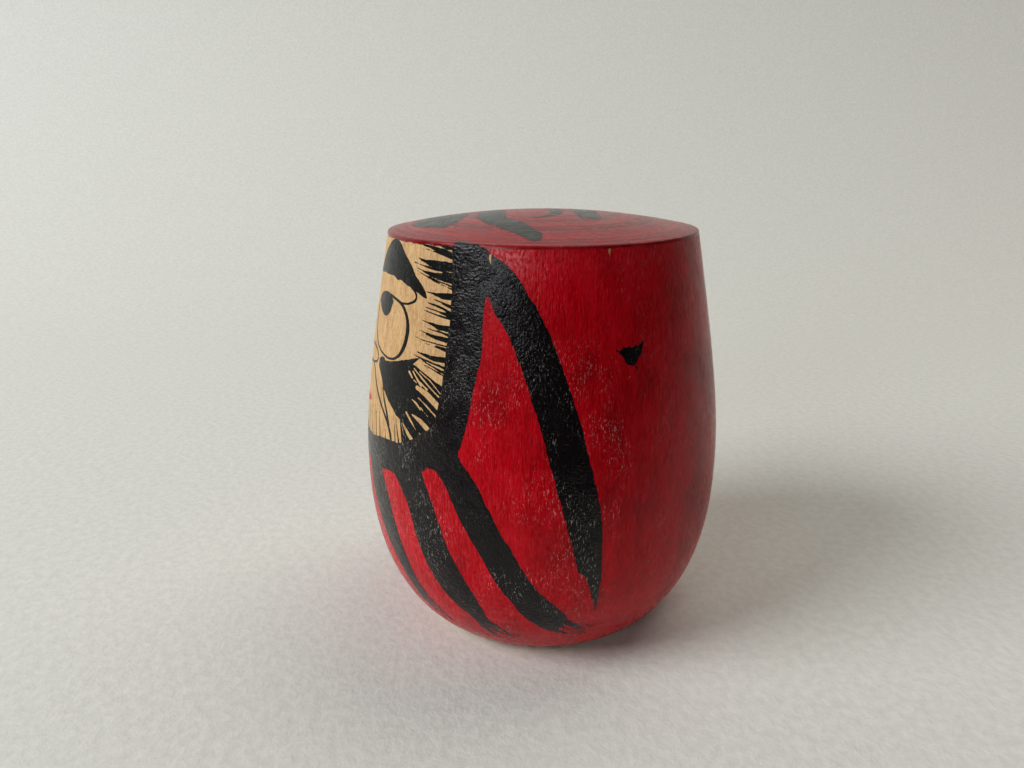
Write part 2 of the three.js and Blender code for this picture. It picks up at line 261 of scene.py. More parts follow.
class Canvas:
    """Coverage over a flat rectangle in millimetres: above 0 where there is paint or ink."""

    def __init__(self, width, height, step):
        ends = (width, height)
        self.xs, self.ys = (np.linspace(low, high, round((high - low) / step) + 1) for low, high in ends)
        self.cell = (self.xs[1] - self.xs[0], self.ys[1] - self.ys[0])
        self.cover = np.full((len(self.ys), len(self.xs)), -1.0)

    def patch_of(self, points, margin):
        """The part of the canvas round some points, as a slice and its x and y."""
        low = points.min(axis=0) - margin
        high = points.max(axis=0) + margin
        columns = slice(*np.searchsorted(self.xs, [low[0], high[0]]))
        rows = slice(*np.searchsorted(self.ys, [low[1], high[1]]))
        return (rows, columns), *np.meshgrid(self.xs[columns], self.ys[rows])

    def put(self, part, cover, remove):
        """Adds a mark to a part of the canvas, or takes away what lies in the mark."""
        before = self.cover[part]
        self.cover[part] = np.minimum(before, -cover) if remove else np.maximum(before, cover)

    def mark(self, corners, seed, rough=0.10, dry=None, remove=False):
        """A brush mark with a slightly rough edge. A dry end is (start, end, depth): from start to end
        the ink breaks up into the streaks of the bristles."""
        part, x, y = self.patch_of(corners, 1.0)
        cover = depth_inside(x, y, corners) + rough * layered(x, y, seed, ROUGH_EDGE)
        if dry:
            start, end, depth = dry
            along, across, reach = along_and_across(x, y, start, end)
            travel = along / reach
            bristle = layered(across, travel * reach, seed + 2, BRISTLES) + layered(x, y, seed + 4, SPECKS)
            worn = np.clip(travel, 0, 1.3) ** 1.5 * depth * (0.6 + bristle)
            cover = np.minimum(cover, 0.45) - np.maximum(worn, 0)
        self.put(part, cover, remove)

    def line(self, points, widths, seed, rough=0.03, remove=False):
        """A thin line through points, whose width runs smoothly through a list of widths."""
        spine = smooth_run(points)
        share = np.linspace(0, 1, len(spine))
        width = np.interp(share, np.linspace(0, 1, len(widths)), widths)
        part, x, y = self.patch_of(spine, 0.6 + max(widths))
        cover = np.full(x.shape, -1.0)
        for start, end, wide_start, wide_end in zip(spine, spine[1:], width, width[1:]):
            share, aside, over = off_the_run(x, y, start, end)
            half_width = (wide_start * (1 - share) + wide_end * share) / 2
            cover = np.maximum(cover, half_width - np.hypot(aside, over))
        along, across, _ = along_and_across(x, y, spine[0], spine[-1])
        cover += rough * (noise(along / 1.1, across / 0.16, seed) + layered(x, y, seed + 1, FINE_SPECKS))
        self.put(part, cover, remove)

    def strokes(self, seed, *runs, rough=0.10, dry=None):
        """The same brush mark on both sides of the doll, from the runs of its outline."""
        for side in (1, -1):
            dry_end = dry and (*on_canvas(dry[:2], side), dry[2])
            self.mark(outline(side, *runs), seed + side, rough, dry_end)

    def lines(self, seed, points, widths, spread=1, **settings):
        """The same thin line on both sides of the doll."""
        for side in (1, -1):
            self.line(on_canvas(points, side), widths, seed + spread * side, **settings)

    def value_at(self, points):
        """The coverage at any points, smoothly between the canvas's own."""
        x = np.clip((points[:, 0] - self.xs[0]) / self.cell[0], 0, len(self.xs) - 1.001)
        y = np.clip((points[:, 1] - self.ys[0]) / self.cell[1], 0, len(self.ys) - 1.001)
        column, row = x.astype(int), y.astype(int)
        return blended(self.cover, column, row, x - column, y - row)

    def edges(self):
        """The line where the coverage is 0, as points and pairs of their numbers."""
        covered = self.cover > 0
        rows, columns = covered.shape
        numbers, points = [], []
        for right, up in ((1, 0), (0, 1)):  # first between neighbours in a row, then in a column
            here = self.cover[: rows - up, : columns - right]
            there = self.cover[up:, right:]
            crossed = (here > 0) != (there > 0)
            row, column = np.nonzero(crossed)
            number = np.full(crossed.shape, -1)
            number[crossed] = sum(map(len, points)) + np.arange(len(row))
            numbers.append(number)
            t = np.clip(here[crossed] / (here[crossed] - there[crossed]), CROSSING, 1 - CROSSING)
            x = self.xs[column] + right * t * self.cell[0]
            y = self.ys[row] + up * t * self.cell[1]
            points.append(np.column_stack([x, y]))

        bottom, top = numbers[0][:-1], numbers[0][1:]
        left, right = numbers[1][:, :-1], numbers[1][:, 1:]
        around = np.stack([bottom, right, top, left], axis=-1)
        count = (around >= 0).sum(axis=-1)
        single = around[count == 2]
        pairs = [single[single >= 0].reshape(-1, 2)]
        saddle = count == 4
        middle = (self.cover[:-1, :-1] + self.cover[:-1, 1:] + self.cover[1:, :-1] + self.cover[1:, 1:]) > 0
        joined = saddle & (middle == covered[:-1, :-1])
        parted = saddle & ~joined
        pairs += [around[joined][:, [0, 1]], around[joined][:, [2, 3]]]
        pairs += [around[parted][:, [0, 3]], around[parted][:, [1, 2]]]
        return np.vstack(points), np.vstack(pairs)


# ---- Films on the turned surface ----

INK_THICKNESS = 0.03
RED_THICKNESS = 0.035
ON_WOOD = 0.0  # how far a film is lifted off the wood
ON_RED = RED_THICKNESS - 0.003
ON_CROWN = RED_THICKNESS + 0.007
SUNK = 0.01  # how far below its lift the underside of a film lies
EDGE_WIDTH = 0.15  # the width over which a film thins out to its edge
EDGE_SHARE = 0.25  # the share of the full thickness that is left there
PARTING = 0.03  # the share by which parted points are drawn towards their own side
NO_AREA = 1e-9


def in_scene(name, data):
    """A new object, linked to the scene."""
    made = bpy.data.objects.new(name, data)
    SCENE.collection.objects.link(made)
    return made


def smooth_object(name, points, faces, material):
    """A smooth mesh object of one material, from points in metres."""
    mesh = bpy.data.meshes.new(name)
    mesh.from_pydata(points, [], faces)
    mesh.materials.append(material)
    mesh.polygons.foreach_set("use_smooth", [True] * len(mesh.polygons))
    return in_scene(name, mesh)


def new_piece(name, points, faces, normals, finish, replaced):
    """A mesh object from millimetre points, riding on the doll and standing for CAD nodes."""
    material, slot = finish
    piece = smooth_object(name, (points * MM).tolist(), faces, material)
    piece.data.normals_split_custom_set_from_vertices(normals.tolist())
    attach(piece, "root")
    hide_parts(*replaced)


def seam_points(canvas, edge_points, spacing):
    """Points down the left and right edges of a canvas that wraps round, and the lines between them."""
    points, pairs = [], []
    for x in (canvas.xs[0], canvas.xs[-1]):
        ends = np.sort(edge_points[np.abs(edge_points[:, 0] - x) < SAME_PLACE, 1])
        for low, high in zip(ends[::2], ends[1::2]):
            heights = np.linspace(low, high, max(2, round((high - low) / spacing)))
            pairs += [(i, i + 1) for i in range(len(points), len(points) + len(heights) - 1)]
            points += [(x, y) for y in heights]
    return np.array(points), np.array(pairs)


def seam_joined(canvas, flat, triangles):
    """The triangles with each point on the right edge of the canvas swapped for its twin on the left."""
    left = np.flatnonzero(np.abs(flat[:, 0] - canvas.xs[0]) < SAME_PLACE)
    right = np.flatnonzero(np.abs(flat[:, 0] - canvas.xs[-1]) < SAME_PLACE)
    twin = np.arange(len(flat))
    for point in right:
        twin[point] = left[np.argmin(np.abs(flat[left, 1] - flat[point, 1]))]
    return twin[triangles]


def fans_parted(flat, triangles):
    """Where two parts of a film would touch in one point only, gives each part a point of its own."""
    owner = {}
    for number, (a, b, c) in enumerate(triangles.tolist()):
        owner[a, b] = owner[b, c] = owner[c, a] = number
    starts = Counter(a for a, b in owner if (b, a) not in owner)
    flat = flat.tolist()
    first = triangles.copy()
    for point in [point for point, count in starts.items() if count > 1]:
        waiting = set(np.flatnonzero((first == point).any(axis=1)).tolist())
        fan = [waiting.pop()]
        while waiting:
            for number in fan:
                for corner in first[number].tolist():
                    for beside in (owner.get((point, corner)), owner.get((corner, point))):
                        if beside in waiting:
                            waiting.remove(beside)
                            fan.append(beside)
            if not waiting:
                break
            rows = triangles[fan]
            middle = np.array(flat)[rows].mean(axis=(0, 1))
            rows[rows == point] = len(flat)
            triangles[fan] = rows
            flat.append(((1 - PARTING) * np.array(flat[point]) + PARTING * middle).tolist())
            fan = [waiting.pop()]
    return np.array(flat), triangles


def grid_points(xs, ys):
    """The points (x, y) of a grid, row by row."""
    return np.column_stack([part.ravel() for part in np.meshgrid(xs, ys)])


def film(name, canvas, lift, spacing, finish, replaced, place=on_side, thickness=INK_THICKNESS,
         extra=(), wraps=False):
    """A thin closed film: its outline is where the canvas's coverage is 0, and its edge thins out.
    Extra holds arrays of more points for its inside."""
    flat, pairs = canvas.edges()
    columns = np.arange(canvas.xs[0] + spacing / 2, canvas.xs[-1], spacing)
    rows = np.arange(canvas.ys[0] + spacing / 2, canvas.ys[-1], spacing)
    inner = grid_points(columns, rows)
    inner[:, 0] += np.repeat(np.where(np.arange(len(rows)) % 2, spacing / 4, -spacing / 4), len(columns))
    inner = np.vstack([inner, *extra])
    inner = inner[canvas.value_at(inner) > min(0.3 * spacing, EDGE_WIDTH)]
    if wraps:
        seam, seam_pairs = seam_points(canvas, flat, spacing)
        pairs = np.vstack([pairs, seam_pairs + len(flat)])
        flat = np.vstack([flat, seam])
    flat = np.vstack([flat, inner]).tolist()
    made = delaunay_2d_cdt(flat, pairs.tolist(), [], 0, SAME_PLACE, False)
    flat = np.array([tuple(v) for v in made[0]])
    triangles = np.array([face for face in made[2] if len(face) == 3])
    a, b, c = (flat[triangles[:, corner]] for corner in range(3))
    (bx, by), (cx, cy) = (b - a).T, (c - a).T
    has_area = np.abs(bx * cy - by * cx) > NO_AREA
    triangles = triangles[(canvas.value_at((a + b + c) / 3) > 0) & has_area]
    if wraps:
        triangles = seam_joined(canvas, flat, triangles)
    used, numbers = np.unique(triangles, return_inverse=True)
    flat = flat[used]
    flat, triangles = fans_parted(flat, numbers.reshape(-1, 3))

    full = np.clip(canvas.value_at(flat) / EDGE_WIDTH, 0, 1)
    turn, along = place(flat)
    upper, normals = surface(turn, along, lift + thickness * (EDGE_SHARE + (1 - EDGE_SHARE) * full))
    lower, _ = surface(turn, along, np.full(len(flat), lift - SUNK))
    sides = np.vstack([triangles[:, [0, 1]], triangles[:, [1, 2]], triangles[:, [2, 0]]]).tolist()
    known = {tuple(side) for side in sides}
    count = len(flat)
    faces = triangles.tolist()
    faces += (triangles[:, ::-1] + count).tolist()
    faces += [[b, a, a + count, b + count] for a, b in sides if (b, a) not in known]
    new_piece(name, np.vstack([upper, lower]), faces, np.vstack([normals, -normals]), finish, replaced)


# ---- Materials ----


class Look:
    """A node material, with short calls for the nodes that it needs. Textures are laid in millimetres."""

    def __init__(self, name, colour):
        self.material = bpy.data.materials.new(name)
        self.material.use_nodes = True
        self.tree = self.material.node_tree
        self.shader = self.tree.nodes["Principled BSDF"]
        self.colour = colour
        self.place = self.node("ShaderNodeTexCoord").outputs["Object"]
        self.place = self.stretched(1 / MM, 1 / MM)
        parts = self.node("ShaderNodeSeparateXYZ", {"Vector": self.place})
        self.forward, self.backward, self.height = parts.outputs

    def fill(self, node, inputs):
        """Sets a node's inputs to plain values or links them to other nodes' outputs."""
        for key, value in inputs.items():
            socket = node.inputs[key]
            if isinstance(value, bpy.types.NodeSocket):
                self.tree.links.new(value, socket)
            else:
                socket.default_value = (*value, 1) if socket.type == "RGBA" else value
        return node

    def node(self, kind, inputs={}, **settings):
        made = self.tree.nodes.new(kind)
        for key, value in settings.items():
            setattr(made, key, value)
        return self.fill(made, inputs)

    def math(self, operation, *values):
        return self.node("ShaderNodeMath", dict(enumerate(values)), operation=operation).outputs[0]

    def times(self, *values):
        return self.math("MULTIPLY", *values)

    def stretched(self, across, up):
        """Texture coordinates with this many cells to the millimetre across and up the doll."""
        factors = {0: self.place, 1: (across, across, up)}
        return self.node("ShaderNodeVectorMath", factors, operation="MULTIPLY").outputs[0]

    def noise_at(self, place, detail=2.0, roughness=0.5, distortion=0.0):
        inputs = {"Vector": place, "Scale": 1.0, "Detail": detail, "Roughness": roughness}
        return self.node("ShaderNodeTexNoise", inputs | {"Distortion": distortion}).outputs["Fac"]

    def noise(self, across, up, **settings):
        return self.noise_at(self.stretched(across, up), **settings)

    def ramp(self, value, low, high, bottom=0.0, top=1.0):
        """A smooth step from bottom to top as the value runs from low to high."""
        inputs = {"Value": value, "From Min": low, "From Max": high, "To Min": bottom, "To Max": top}
        return self.node("ShaderNodeMapRange", inputs, interpolation_type="SMOOTHSTEP").outputs["Result"]

    def tint(self, share, colour):
        """Lays this share of another colour over the colour so far."""
        inputs = {"Factor": share, "A": self.colour, "B": colour}
        self.colour = self.node("ShaderNodeMix", inputs, data_type="RGBA").outputs["Result"]

    def flecks(self, across, up, share):
        """Small ragged flecks: 1 inside them, covering roughly this share of the surface."""
        made = self.noise(across, up, detail=3.0, roughness=0.62, distortion=0.1)
        edge = 0.5 + 0.2 * (1 - 2 * share) ** 1.4
        return self.ramp(made, edge, edge + 0.05)

    def bump(self, height, strength, distance):
        inputs = {"Strength": strength, "Distance": distance * MM, "Height": height}
        self.fill(self.shader, {"Normal": self.node("ShaderNodeBump", inputs).outputs["Normal"]})

    def finish(self, roughness, specular):
        inputs = {"Base Color": self.colour, "Roughness": roughness, "Specular IOR Level": specular}
        self.fill(self.shader, inputs)
        return self.material


def grain_streaks(look):
    """Fine upright grain of the wood under the coats, from 0 to 1."""
    fine = look.noise(3.4, 0.3, detail=3, roughness=0.65)
    broad = look.noise(0.7, 0.05)
    return look.math("ADD", look.times(fine, 0.7), look.times(broad, 0.3))


def turned_rings(look):
    """Rings left by the turning tool on the crown, from 0 to 1."""
    radius = look.node("ShaderNodeVectorMath", {0: look.stretched(1, 0)}, operation="LENGTH")
    across = look.times(radius.outputs["Value"], 1.2)
    wobble = look.times(look.noise(0.06, 0.06), 0.9)
    place = look.node("ShaderNodeCombineXYZ", {"X": across, "Y": wobble}).outputs["Vector"]
    return look.noise_at(place, detail=5, roughness=0.8)


def worn_flecks(look, small_share, large_share):
    """Upright flecks where the coat is worn through, in clusters, more of them on the lower body."""
    cluster = look.noise(0.15, 0.11, detail=3, roughness=0.6)
    often = look.ramp(cluster, 0.46, 0.62, 0.05)
    often = look.times(often, look.ramp(look.height, 36, 60, 1, 0.3))
    flecks = look.math("ADD", look.flecks(5.2, 1.5, small_share), look.flecks(2.6, 0.8, large_share))
    return look.math("MINIMUM", look.times(flecks, often), 1)


def wood_material():
    look = Look("pale_turned_wood", (0.4, 0.19, 0.062))
    streaks = grain_streaks(look)
    look.tint(look.ramp(streaks, 0.38, 0.62), (0.73, 0.47, 0.21))
    cloud = look.noise(0.12, 0.05, detail=3)
    look.tint(look.ramp(cloud, 0.3, 0.7, 0, 0.5), (0.6, 0.34, 0.135))
    speckle = look.noise(4, 3)
    look.tint(look.ramp(speckle, 0.4, 0.65, 0, 0.35), (0.78, 0.55, 0.3))
    pores = look.flecks(3, 1, 0.12)
    look.tint(look.times(pores, 0.6), (0.34, 0.15, 0.05))
    look.bump(streaks, 0.35, 0.05)
    return look.finish(look.ramp(streaks, 0.2, 0.8, 0.5, 0.62), 0.35)


def side_paint_material():
    look = Look("red_paint_over_grain", (0.39, 0.0003, 0.003))
    streaks = grain_streaks(look)
    look.tint(look.ramp(streaks, 0.36, 0.64), (0.58, 0.0016, 0.01))
    cloud = look.noise(0.1, 0.07, detail=4, roughness=0.6)
    look.tint(look.ramp(cloud, 0.48, 0.64, 0, 0.75), (0.27, 0.0003, 0.003))
    look.tint(look.ramp(cloud, 0.34, 0.46, 0.6, 0), (0.64, 0.004, 0.014))
    # The coat is thinner low down and towards the face.
    thin = look.times(look.flecks(3, 0.8, 0.34), look.ramp(look.height, 30, 55, 0.3, 0.1))
    thin = look.times(thin, look.ramp(look.backward, -27, -6, 2.6, 0.8))
    look.tint(thin, (0.66, 0.035, 0.055))
    # Beside the hood, just under the rim, it is rubbed, with a painted pink highlight where the window glints
    # on the lumps of paint.
    beside_hood = look.ramp(look.backward, -11.5, -10)
    beside_hood = look.times(beside_hood, look.ramp(look.backward, -7.5, -2, 1, 0.1))
    beside_hood = look.times(beside_hood, look.ramp(look.height, 63.5, 68))
    rubbed_and_highlight = look.ramp(look.noise(3, 1.7), 0.44, 0.6, 0.1, 0.75)
    look.tint(look.times(rubbed_and_highlight, beside_hood), (0.74, 0.15, 0.17))
    # Near the foot the turning tool left rings.
    scored = look.ramp(look.noise(0.1, 3.2, detail=3, roughness=0.65), 0.5, 0.62)
    look.tint(look.times(scored, look.ramp(look.height, 9, 17, 0.4, 0)), (0.58, 0.08, 0.09))
    flecks = worn_flecks(look, 0.2, 0.1)
    look.tint(look.times(flecks, 0.7), (0.7, 0.32, 0.29))
    height = look.math("ADD", look.times(streaks, 1.7), look.noise(1.6, 1.1, detail=1.8))
    look.bump(look.math("SUBTRACT", height, look.times(flecks, 0.3)), 0.8, 0.1)
    gloss = look.noise(0.8, 0.3, detail=3)
    return look.finish(look.ramp(gloss, 0.3, 0.7, 0.2, 0.32), 0.125)


def crown_paint_material():
    look = Look("red_paint_over_end_grain", (0.13, 0.001, 0.004))
    rings = turned_rings(look)
    look.tint(look.ramp(rings, 0.39, 0.61), (0.43, 0.007, 0.014))
    mottle = look.noise(0.5, 0.5, detail=4)
    look.tint(look.ramp(mottle, 0.45, 0.75, 0, 0.4), (0.42, 0.03, 0.04))
    look.tint(look.times(look.flecks(2.2, 2.2, 0.06), 0.4), (0.5, 0.2, 0.16))
    look.bump(look.math("ADD", rings, look.times(mottle, 0.3)), 0.9, 0.17)
    return look.finish(look.ramp(mottle, 0.3, 0.7, 0.2, 0.28), 0.24)


def ink_material(name, tone, lumpy, gloss, worn=(), rings=False):
    """Brushed ink, dried in small lumps that catch the light. Lumpy is their height in millimetres."""
    look = Look(name, tone)
    streaks = grain_streaks(look)
    look.tint(look.ramp(streaks, 0.3, 0.7), tuple(1.8 * part for part in tone))
    if worn:
        look.tint(look.times(worn_flecks(look, *worn), 0.65), (0.38, 0.36, 0.3))
    lumps = turned_rings(look) if rings else look.noise(2, 2.9, detail=1.6)
    patchy = look.ramp(look.noise(0.3, 0.3), 0.35, 0.65, 0.3)
    look.bump(look.math("ADD", look.times(streaks, 0.4), look.times(lumps, patchy)), 1, lumpy)
    spread = look.noise(0.8, 0.8, detail=3)
    return look.finish(look.ramp(spread, 0.3, 0.7, 0.18, 0.28), gloss)


def lip_material():
    look = Look("lip_red_on_wood", (0.42, 0.02, 0.02))
    streaks = grain_streaks(look)
    look.tint(look.ramp(streaks, 0.3, 0.7), (0.55, 0.06, 0.04))
    look.bump(streaks, 0.35, 0.05)
    return look.finish(look.ramp(streaks, 0.2, 0.8, 0.46, 0.58), 0.4)


ROBE_BLACK = (0.003, 0.0016, 0.0022)
FACE_BLACK = (0.006, 0.006, 0.006)
CROWN_BLACK = (0.01, 0.011, 0.011)
WOOD = (wood_material(), "bare_wood")
SIDE_RED = (side_paint_material(), "red_paint")
CROWN_RED = (crown_paint_material(), "red_paint")
ROBE_INK = (ink_material("black_ink_on_red", ROBE_BLACK, 0.18, 0.26, worn=(0.2, 0.11)), "black_ink")
FACE_INK = (ink_material("black_ink_on_wood", FACE_BLACK, 0.08, 0.09, worn=(0.14, 0.06)), "black_ink")
CROWN_INK = (ink_material("black_ink_on_crown", CROWN_BLACK, 0.2, 0.26, rings=True), "black_ink")
LIP_RED = (lip_material(), "lip_paint")

# ---- The wooden block ----

BLOCK_TURNS = 256
RING_SPACING = 0.8
FINE_RINGS = 12  # over the rim and over the edge of the foot


def wood_block():
    """The turned block itself, in rings of points from the crown's middle to the foot's middle."""
    even = np.arange(RING_SPACING, ALONG[-1] - RING_SPACING, RING_SPACING)
    fine_rim = np.linspace(RIM_ALONG - 1.2, RIM_ALONG + 0.3, FINE_RINGS)
    foot_turn = along_at_height(np.array(FOOT_WEAR))
    fine_foot = np.linspace(foot_turn - 0.3, foot_turn + 1.6, FINE_RINGS)
    rings = np.unique(np.concatenate([even, fine_rim, fine_foot]))
    turns = np.linspace(0, 2 * math.pi, BLOCK_TURNS, endpoint=False)
    turn, along = grid_points(turns, rings).T
    points, normals = surface(turn, along, np.zeros(turn.size))
    ends, end_normals = surface(np.zeros(2), np.array([0, ALONG[-1]]), np.zeros(2))
    points = np.vstack([points, ends])
    normals = np.vstack([normals, end_normals])
    crown_middle, foot_middle = len(points) - 2, len(points) - 1
    last = turn.size - BLOCK_TURNS
    faces = []
    for column in range(BLOCK_TURNS):
        beside = (column + 1) % BLOCK_TURNS
        faces.append([crown_middle, column, beside])
        for here in range(0, last, BLOCK_TURNS):
            below = here + BLOCK_TURNS
            faces.append([here + column, below + column, below + beside, here + beside])
        faces.append([foot_middle, last + beside, last + column])
    new_piece("wood_block", points, faces, normals, WOOD, ["turned_body"])


wood_block()

# ---- Coats of red paint ----

COAT_TOP = RIM_HEIGHT + 0.1
COAT_BOTTOM = 0.45
COAT_STEP = 0.2  # of the canvas
COAT_SPACING = 1.1  # between the points inside a coat
RAGGED = 0.12  # how far the edge of a coat wanders
CROWN_LAP = 0.32  # how far the crown's coat runs over the rim, down the side

WINDOW_SIDE = [(57, 72), (57, 60), (57, 47), (52, 40), (35, 36), (0, 34.5)]


def side_chips(canvas):
    """Small ragged chips where the coats have come away from the wood."""
    chips = [
        [(67.5, 68.1), (68.2, 68.2), (68.5, 67.5), (68.3, 66.8), (67.9, 67.3), (67.5, 67.5)],
        [(105, 68.9), (105.9, 68.8), (105.8, 68.2), (105.4, 67.6), (105.2, 68.2)],
        [(109.6, 51.1), (110.6, 51), (110.7, 50.2), (110, 50.4), (109.4, 50.3)],
        [(-72.4, 41), (-71.6, 40.9), (-71.4, 40.2), (-72, 39.9), (-72.6, 40.3)],
        [(-131.5, 63.3), (-130.6, 63.2), (-130.8, 62.7), (-131.4, 62.8)],
        [(163.6, 47.5), (164.4, 47.3), (164.3, 46.6), (163.8, 46.4)],
    ]
    for number, corners in enumerate(chips):
        canvas.mark(on_canvas(corners), 900 + number, rough=0.22, remove=True)


def ragged(angle, cells, seed):
    """Noise round a circle, with about this many cells to its radius."""
    return noise(np.cos(angle) * cells, np.sin(angle) * cells, seed)


def red_side_paint():
    reach = math.pi * MEAN_RADIUS
    canvas = Canvas((-reach, reach), (-1.0, RIM_HEIGHT + 2), COAT_STEP)
    x, y = np.meshgrid(canvas.xs, canvas.ys)
    around = noise(np.cos(x / MEAN_RADIUS) * 30, np.sin(x / MEAN_RADIUS) * 30 + y, 11)
    canvas.cover = np.minimum(COAT_TOP - y, y - COAT_BOTTOM + RAGGED * around)
    window = outline(1, WINDOW_SIDE, [(-turn, height) for turn, height in reversed(WINDOW_SIDE)])
    canvas.mark(window, 12, rough=0.15, remove=True)
    side_chips(canvas)
    canvas.cover[:, -1] = canvas.cover[:, 0]
    film("red_side_paint", canvas, ON_WOOD, COAT_SPACING, SIDE_RED, ["red_side_coat"],
         thickness=RED_THICKNESS, wraps=True)


def red_crown_paint():
    lap = RIM_ALONG + CROWN_LAP
    canvas = Canvas((-lap - 1, lap + 1), (-lap - 1, lap + 1), COAT_STEP)
    x, y = np.meshgrid(canvas.xs, canvas.ys)
    turn = np.arctan2(x, -y)
    canvas.cover = lap - np.hypot(x, y) + RAGGED * (ragged(turn, 25, 21) + 0.6 * ragged(turn, 60, 22))
    angles = np.linspace(0, 2 * math.pi, 360, endpoint=False)
    angle, radius = grid_points(angles, RIM_ALONG + np.linspace(-1.0, 0.15, 9)).T
    rings = np.column_stack([radius * np.cos(angle), radius * np.sin(angle)])
    film("red_crown_paint", canvas, ON_WOOD, COAT_SPACING, CROWN_RED, ["red_crown_coat"],
         place=on_crown, thickness=RED_THICKNESS + 0.01, extra=[rings])


red_side_paint()
red_crown_paint()

# ---- Ink on the robe ----


def both(*parts):
    """The CAD names of parts that come as a left and a right one."""
    return [part + side for part in parts for side in ("_left", "_right")]


def hood_band(canvas):
    """The broad upright band beside the face, which meets the crown."""
    inner = [
        (54.4, 69.9), (54.7, 69), (55, 67), (55.5, 64), (56, 60), (55.7, 57), (55.2, 54), (54.8, 51),
        (54.2, 48), (53.3, 45), (52, 42), (50.5, 40), (48, 38),
    ]
    outer = [
        (55, 37.6), (60.5, 38.8), (61, 39.4), (62.6, 42.3), (63.6, 44.8), (64.3, 47), (65, 49.5), (66, 52),
        (66.9, 54.8), (66.8, 57.7), (66.9, 60.6), (67.7, 62.6), (66.5, 66), (64.4, 69.4), (61.5, 69.8),
        (58, 70.3), (55.6, 70.2),
    ]
    canvas.strokes(100, inner, outer)


def robe_edge(canvas):
    """The long stroke that runs from the hood back over the shoulder and down the arm."""
    inner = [
        (57, 69.6), (60, 66), (67.4, 62.6), (68.5, 61.9), (70.6, 59.9), (73, 58.4), (75.3, 56.5),
        (76.9, 54.4), (78.7, 52.4), (80.2, 50.3), (81.6, 47.8), (83.2, 45.6), (84.3, 43.6), (85.6, 41),
        (87.2, 37.6), (88.9, 34.1), (90.3, 31), (91.8, 28), (93.2, 25), (94.3, 22.6), (95, 20.9),
    ]
    tip = [(96.9, 20.3), (98.3, 18.3), (99.9, 15.6), (102, 12.4)]
    outer = [
        (102, 14.9), (101.9, 18), (101.8, 20.9), (101.7, 24.5), (101.2, 28.8), (100.2, 32.9), (98.4, 36.9),
        (96.7, 40.8), (95.4, 44), (93.7, 46.9), (92, 49.9), (90.3, 52.4), (88.3, 55.1), (86, 57.9),
        (83.8, 59.9), (82.2, 61.5), (80.6, 62.3), (78.8, 63.8), (77.6, 64.7), (75.6, 65.8), (73.2, 66.8),
        (69.6, 67.8), (68, 68.3), (65.7, 69.1), (63.5, 69.6), (60, 69.9),
    ]
    canvas.strokes(110, inner, tip, outer)


def chin_band(canvas):
    """The broad band under the beard, from one hood band to the other."""
    upper = [
        (0, 36.2), (12, 36.3), (20.6, 36.6), (26.5, 37.4), (33, 37.9), (38, 38.2), (42, 39), (46, 40.3),
        (50.5, 42), (56, 44),
    ]
    lower = [
        (60.7, 38.9), (56, 37), (52, 35.9), (50.6, 35.9), (48.4, 35), (44, 33.6), (36, 32.7), (32.2, 32.7),
        (29, 32.2), (24, 31.9), (9, 31.6), (0, 31.6),
    ]
    left = np.vstack([smooth_run(upper + lower[:1]), smooth_run(lower)])
    canvas.mark(on_canvas(np.vstack([left, left[::-1] * (-1, 1)])), 120)


def outer_fold(canvas):
    """The widest fold of the robe, running dry at its foot."""
    upper = [
        (58, 41), (60.9, 38.8), (64, 36.7), (67, 34.6), (68.6, 32.5), (70.6, 30.6), (73.3, 27.5), (76, 25),
        (78.8, 22), (81.5, 19.4), (84.4, 17), (88.2, 14.8), (91.5, 12.8), (95, 10.9), (98, 9.8), (103, 9.2),
    ]
    lower = [
        (102.5, 6.4), (96.9, 6.7), (90.6, 7.6), (86.2, 8.7), (82.3, 10.3), (78.4, 12.4), (76.2, 14.4),
        (74, 16.2), (72.2, 17.6), (69.8, 20), (68, 22.4), (65.9, 24.5), (63.8, 26.5), (61.9, 28.1),
        (60.4, 29.6), (58.9, 31.4), (57.4, 33.2), (55.7, 34.7), (53.4, 35.7), (51, 36.4),
    ]
    canvas.strokes(130, upper, lower, dry=((88.5, 12), (102, 7), 1.9))


def third_fold(canvas):
    right = [
        (47, 37), (48.5, 34.7), (50.1, 32.7), (52, 30.4), (53.6, 28.1), (55.1, 25.8), (56.6, 23.4),
        (58.3, 21.4), (60.4, 19.1), (62.4, 16.7), (64.2, 14.7), (65.6, 12.6), (67, 10.3), (69.8, 9),
        (73.5, 7.8), (77, 6.6),
    ]
    left = [
        (74.5, 4.3), (68, 5.2), (64.5, 6.8), (62, 8.8), (59.8, 10.4), (56.4, 11.9), (53.7, 13.5),
        (50.9, 15.6), (48.5, 18), (46.4, 21), (44.5, 24), (43.4, 26.7), (41.6, 28.9), (39.4, 30.7),
        (37.4, 31.9), (35, 33.2),
    ]
    canvas.strokes(140, right, left, dry=((65, 10.6), (76, 5), 1.5))


def second_fold(canvas):
    right = [
        (26.5, 33), (28.2, 31.7), (30.5, 29.1), (32.2, 26.9), (33.6, 24.7), (35.2, 22.3), (37.3, 18.7),
        (39.1, 15.6), (41, 12.8), (43.6, 10.7), (46.9, 9), (50.5, 7.4), (53, 6.2),
    ]
    left = [
        (46, 5.6), (41, 7), (36.4, 8.8), (34.2, 11.6), (31.8, 14.2), (29, 17), (25.8, 19.6), (23.4, 21.8),
        (20.8, 24.5), (18.6, 27.1), (16.8, 29.6), (15, 32.6),
    ]
    canvas.strokes(150, right, left, dry=((39.5, 12.5), (49, 6.6), 1.7))


def inner_fold(canvas):
    right = [(9, 32.5), (9.5, 30), (10.5, 27), (13, 20), (17, 12.5), (21.5, 7)]
    left = [(17.5, 6.6), (12, 11), (7.5, 17), (5, 24), (3.7, 30), (3.5, 32.5)]
    canvas.strokes(160, right, left, dry=((15.5, 11), (19.5, 6), 1.4))


